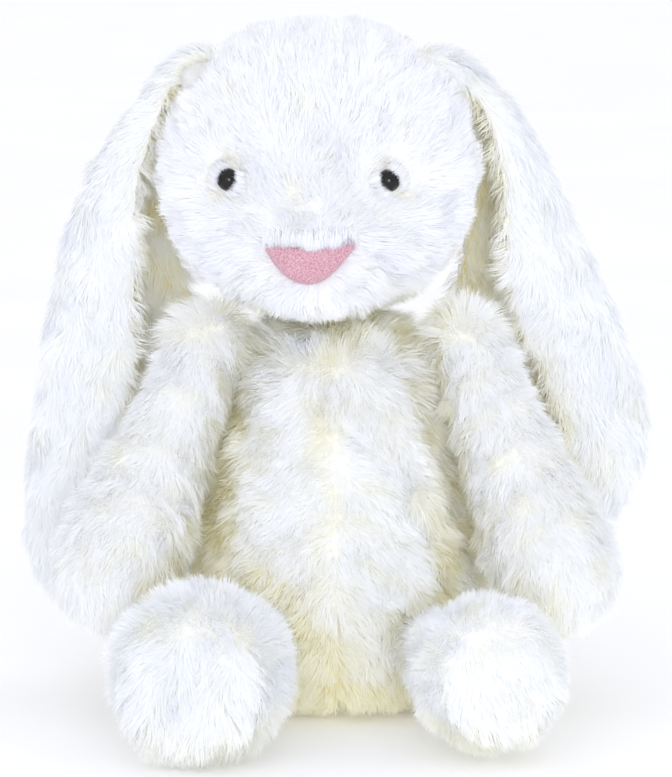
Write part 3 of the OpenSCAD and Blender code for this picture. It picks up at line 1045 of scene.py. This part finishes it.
def head_keep():
    """No strand grows under an eye or the nose."""
    tree = cad_tree("nose_patch")

    def keep(roots, normals):
        kept = np.ones(len(roots), bool)
        for side in SIDES:
            kept &= (eye_offsets(roots, side)[3] > EYE_CLEARANCE) | (roots[:, 1] > 0)
        near = np.flatnonzero(kept & (np.linalg.norm(roots - nose_middle(), axis=1) < 30 * MM))
        for i in near:
            kept[i] = tree.ray_cast(Vector(roots[i]), Vector(normals[i]), 20 * MM)[0] is None
        return kept

    return keep


def belly_painted_shade(p):
    """Painted shade, as cream: a wavy line where the belly's seam parts the fur, and more of it low on the
    belly.
    """
    wave = (3 * np.sin(p[:, 2] / (11 * MM)) + 1.5 * np.sin(p[:, 2] / (4.3 * MM)) - 4) * MM
    seam_shade = np.exp(-(((p[:, 0] - wave) / (3.5 * MM)) ** 2)) * (p[:, 1] < 0)
    low = smooth_step(60 * MM, 8 * MM, p[:, 2]) * 0.35
    return 0.3 * seam_shade + low


# How much painted shade, as cream, each lining's pile takes: more on the left ear, on the side away from the
# key light
PILE_PAINTED_SHADE = {"left": 0.95, "right": 0.6}


def grow_all(skins, linings):
    painted_shade_shares = hidden_shares(skins)
    coats = {
        "torso": Coat(torso_flow, length=9.5 * MM, tone=belly_painted_shade, lift=torso_lift, ruffle=0.55, gather=0.3,
                      shorten=torso_length, cream=1.2),
        "head": Coat(head_flow, length=9 * MM, lift=0.72, ruffle=0.45, shorten=head_length, keep=head_keep(),
                     tuft=4 * MM, cream=0.7, tone=head_painted_shade_and_patches),
        "tail": Coat(tail_flow, lift=0.7),
    }
    for side in SIDES:
        coats[f"arm_{side}"] = Coat(limb_flow("arm", side), length=10 * MM, lift=arm_lift, shorten=arm_length,
                                    ruffle=0.4, gather=0.26, cream=0.5)
        coats[f"leg_{side}"] = Coat(limb_flow("leg", side), length=FOOT_FUR[side], lift=0.76, ruffle=0.4,
                                    gather=0.28, tuft=4 * MM, cream=0.4)
        coats[f"ear_{side}"] = Coat(ear_flow(side), lift=ear_lift(side), keep=outer_face(side), cream=0.8)
    for seed, (name, coat) in enumerate(coats.items()):
        # Painted light and shade: the head takes the darker copy of the white fur, and the torso and arms
        # take the brighter one.
        pile = HEAD_FUR_PAINTED_SHADE if name == "head" else BODY_FUR_PAINTED_LIGHT if name.startswith(("torso", "arm")) else FUR
        grow(f"{name}_fur", skins[name], body_of(name), coat, painted_shade_shares[name], pile, 100 + 10 * seed)
    grow("brow_fur", skins["head"], "head", brow(), painted_shade_shares["head"], HEAD_FUR_PAINTED_SHADE, 280)
    for side in SIDES:
        turn = int(SIDES[side])
        grow(f"lids_{side}_fur", skins["head"], "head", lids(side), painted_shade_shares["head"], HEAD_FUR_PAINTED_SHADE, 290 + turn)
        coat = Coat(ear_flow(side), lift=0.5, gather=0.5, keep=inner_pile(side))
        velvet = linings[side]
        cream = PILE_PAINTED_SHADE[side] + 0.2 * ripples(coordinates(velvet.data), 18 * MM, 77)
        grow(f"ear_{side}_pile", velvet, f"ear_{side}", coat, cream, FUR, 300 + turn)


# ---- Nose ----


def front_of(tree, x, z):
    """The place on a piece's front at that x and z, if there is one."""
    return tree.ray_cast(Vector((x, -1, z)), Vector((0, 1, 0)))[0]


def outline_reach(tree, middle, way, most=40 * MM):
    """How far from its middle the nose patch reaches that way, seen from the front."""
    low, high = 0.0, most
    for _ in range(14):
        half = (low + high) / 2
        if front_of(tree, middle[0] + way[0] * half, middle[2] + way[1] * half) is not None:
            low = half
        else:
            high = half
    return low


# How far behind the CAD patch's front the pad lies, and how far its edge rolls back
NOSE_SET_BACK = 0.6 * MM
NOSE_ROLL = 2.0 * MM
# How much of the CAD patch's outline it fills, and the depths and sizes of the rings of its back
NOSE_SHARE = 0.985
NOSE_BACK = ((2 * MM, 1.0), (4 * MM, 0.95), (5 * MM, 0.5))
NOSE_AROUND = 72
NOSE_RINGS = 12


def nose():
    """A soft velour pad: a domed front measured on the frame, rolled edges and a back in the fur."""
    tree, middle = cad_tree("nose_patch"), nose_middle()
    bm = bmesh.new()
    rows = []
    for k in range(NOSE_AROUND):
        angle = 2 * math.pi * k / NOSE_AROUND
        way = (math.cos(angle), math.sin(angle))
        reach = outline_reach(tree, middle, way) * NOSE_SHARE
        row = []
        for i in range(1, NOSE_RINGS + 1):
            share = i / NOSE_RINGS
            x, z = middle[0] + way[0] * reach * share, middle[2] + way[1] * reach * share
            roll = NOSE_ROLL * (1 - math.sqrt(max(0.0, 1 - share ** 5)))
            row.append(bm.verts.new((x, front_of(tree, x, z).y + NOSE_SET_BACK + roll, z)))
        rim = row[-1].co.y
        for depth, share in NOSE_BACK:
            x, z = middle[0] + way[0] * reach * share, middle[2] + way[1] * reach * share
            row.append(bm.verts.new((x, rim + depth, z)))
        rows.append(row)
    front = front_of(tree, middle[0], middle[2])
    poles = [bm.verts.new((middle[0], front.y + NOSE_SET_BACK, middle[2]))]
    poles.append(bm.verts.new((middle[0], rows[0][-1].co.y, middle[2])))
    for k, row in enumerate(rows):
        following = rows[(k + 1) % NOSE_AROUND]
        bm.faces.new((poles[0], row[0], following[0]))
        for i in range(len(row) - 1):
            bm.faces.new((row[i], row[i + 1], following[i + 1], following[i]))
        bm.faces.new((poles[1], following[-1], row[-1]))
    bmesh.ops.recalc_face_normals(bm, faces=bm.faces)
    pad = object_from(bm, "nose_pad")
    shade_smooth(pad)
    pad.data.materials.append(nose_material())
    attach(pad, "head")
    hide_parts("nose_patch")
    return pad


# ---- Stuffing and label ----

# How far under a skin its fibre lies
STUFFING_DEPTH = 2.5 * MM


def stuffing(name, skin, body, node, material):
    """A lumpy body of fibre that fills a skin."""
    fibre = new_object(name, skin.data.copy())
    fibre.data.materials.clear()
    co, out = coordinates(fibre.data), vertex_normals(fibre.data)
    depth = STUFFING_DEPTH + 0.6 * MM * ripples(co, 12 * MM, 33)
    set_coordinates(fibre.data, co - out * depth[:, None])
    shade_smooth(fibre)
    fibre.data.materials.append(material)
    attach(fibre, body)
    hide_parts(node)


# The folded tape: half the gap between its layers, how far it bows, and how far its end hangs
LABEL_GAP = 0.35 * MM
LABEL_BOW = 0.9 * MM
LABEL_DROOP = 1.1 * MM


def label(material):
    """The woven tape sewn into the side seam: a strip folded in half, with a soft bow in it."""
    low, high = box_of("side_label")
    turns = np.linspace(-math.pi / 2, math.pi / 2, 41)
    out = np.cos(turns)
    x = low[0] + (high[0] - low[0]) * out
    y = (low[1] + high[1]) / 2 + LABEL_GAP * np.sin(turns) + LABEL_BOW * np.sin(2.6 * out)
    z = np.linspace(low[2], high[2], 13)
    bm = bmesh.new()
    rows = [[bm.verts.new((x[i], y[i], h - LABEL_DROOP * out[i] ** 2)) for h in z] for i in range(len(turns))]
    for row, following in zip(rows, rows[1:]):
        for k in range(len(z) - 1):
            bm.faces.new((row[k], following[k], following[k + 1], row[k + 1]))
    tape = object_from(bm, "side_label_tape")
    shade_smooth(tape)
    tape.data.materials.append(material)
    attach(tape, "torso")
    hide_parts("side_label")


# ---- CAD nodes that stay, in better materials ----


def finish_cad_nodes():
    eye = plastic_material("eye_gloss", (0.001, 0.001, 0.001), (0.003, 0.003, 0.003), 0.06, 0.2)
    washer = plastic_material("washer_moulding", (0.72, 0.72, 0.70), (0.82, 0.82, 0.80), 0.5)
    pellet = plastic_material("pellet_plastic", (0.62, 0.62, 0.62), (0.85, 0.85, 0.85), 0.45)
    pouch = cloth_material("pouch_weave", (0.62, 0.61, 0.55), (0.80, 0.79, 0.73), 1400)
    for name, node in frame["nodes"].items():
        if "washer" in name:
            material = washer
        elif name.startswith("eye"):
            material = eye
        elif name == "bean_pellets":
            material = pellet
        elif name == "bean_pouch":
            material = pouch
        else:
            continue
        for slot in node.material_slots:
            slot.material = material


# ---- Studio ----


def area_light(name, place, target, size, power, colour):
    data = bpy.data.lights.new(name, "AREA")
    data.shape, data.size, data.energy, data.color = "DISK", size, power, colour
    lamp = bpy.data.objects.new(name, data)
    lamp.location = place
    lamp.rotation_euler = (Vector(target) - Vector(place)).to_track_quat("-Z", "Y").to_euler()
    bpy.context.scene.collection.objects.link(lamp)


SKY_STRENGTH = 0.95
KEY_WATTS = 1.4
FILL_WATTS = 10.5
FLOOR_GLOW = 0.12


def studio():
    scene = bpy.context.scene
    scene.view_settings.view_transform = "Standard"
    scene.world = bpy.data.worlds.new("studio")
    scene.world.use_nodes = True
    sky = scene.world.node_tree.nodes["Background"]
    sky.inputs["Color"].default_value = (0.97, 0.975, 1.0, 1)
    sky.inputs["Strength"].default_value = SKY_STRENGTH
    area_light("key", (-0.5, -1.6, 0.6), (0, 0, 0.12), 0.9, KEY_WATTS, (1.0, 0.995, 0.99))
    area_light("fill", (0.2, -2.0, 0.42), (0, 0, 0.06), 0.8, FILL_WATTS, (0.96, 0.98, 1.0))
    scene.cycles.max_bounces = 22
    scene.cycles.diffuse_bounces = 20
    bm = bmesh.new()
    bmesh.ops.create_grid(bm, x_segments=8, y_segments=8, size=60)
    floor = object_from(bm, "floor")
    shade = Shade("floor_paper")
    shade.set(base_color=shade.ramp(shade.noise(3), (0.4, (0.93, 0.93, 0.945)), (0.6, (0.95, 0.95, 0.965))))
    shade.set(roughness=0.8, specular_ior_level=0.1)
    shade.set(emission_color=(0.98, 0.98, 1.0, 1), emission_strength=FLOOR_GLOW)
    floor.data.materials.append(shade.material)


make_camera()
studio()
finish_cad_nodes()
skins = build_skins()
velvet = painted_shade_lining_material()
linings = {side: ear_lining(side, velvet) for side in SIDES}
grow_all(skins, linings)
nose()
fibre = fibre_material()
for name, skin in skins.items():
    if not name.startswith("ear"):
        stuffing(f"{name}_fibre", skin, body_of(name), f"{name}_stuffing", fibre)
label(cloth_material("label_weave", (0.78, 0.77, 0.72), (0.92, 0.92, 0.90), 2200))
